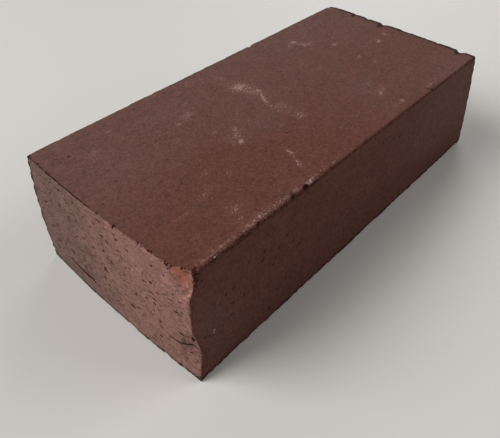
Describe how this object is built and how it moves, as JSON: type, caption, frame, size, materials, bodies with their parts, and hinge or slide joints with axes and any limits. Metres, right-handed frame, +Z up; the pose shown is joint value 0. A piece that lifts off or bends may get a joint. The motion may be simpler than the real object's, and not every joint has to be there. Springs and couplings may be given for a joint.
{
  "type": "clay brick",
  "caption": "Solid extruded clay brick with smooth beds and long faces, bulged wire-cut ends and chipped edges, for laying in mortar.",
  "frame": {"origin": "middle of the lower bed, on the floor that the brick lies on", "axes": "+X along the length, away from the cut end that the picture shows; +Y across the width; +Z up out of the upper bed"},
  "size_m": [0.2328, 0.113, 0.065],
  "materials": {
    "fired_clay": "matte fired red-brown clay, unglazed, with torn pits on the cut ends and pale scuffs on the upper bed"
  },
  "bodies": {
    "root": {"brick": "fired_clay"}
  },
  "joints": []
}
